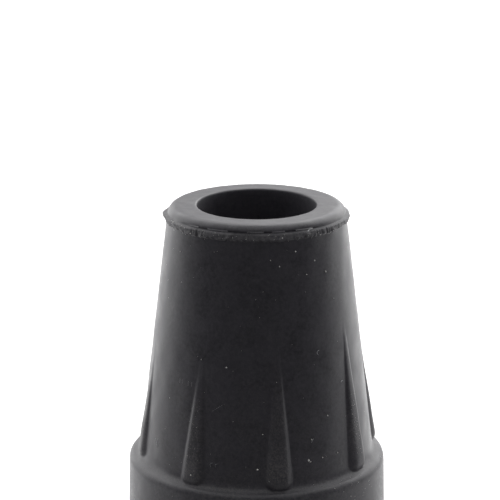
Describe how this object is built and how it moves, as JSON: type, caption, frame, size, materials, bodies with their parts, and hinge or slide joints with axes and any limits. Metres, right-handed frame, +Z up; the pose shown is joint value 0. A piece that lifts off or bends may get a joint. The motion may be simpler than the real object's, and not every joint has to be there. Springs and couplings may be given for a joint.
{
  "type": "rubber cane tip",
  "caption": "Tapered round rubber cap with a blind round socket, raised tapered ribs and a wider foot, pushed onto the end of a cane's tube so that it stands without slipping.",
  "frame": {"origin": "middle of the flat underside", "axes": "+Z up along the socket, out of its mouth; one rib along each of +X, +Y, -X and -Y"},
  "size_m": [0.0266, 0.0266, 0.035],
  "materials": {
    "black_rubber": "satin"
  },
  "bodies": {
    "root": {"cane_tip": "black_rubber"}
  },
  "joints": []
}
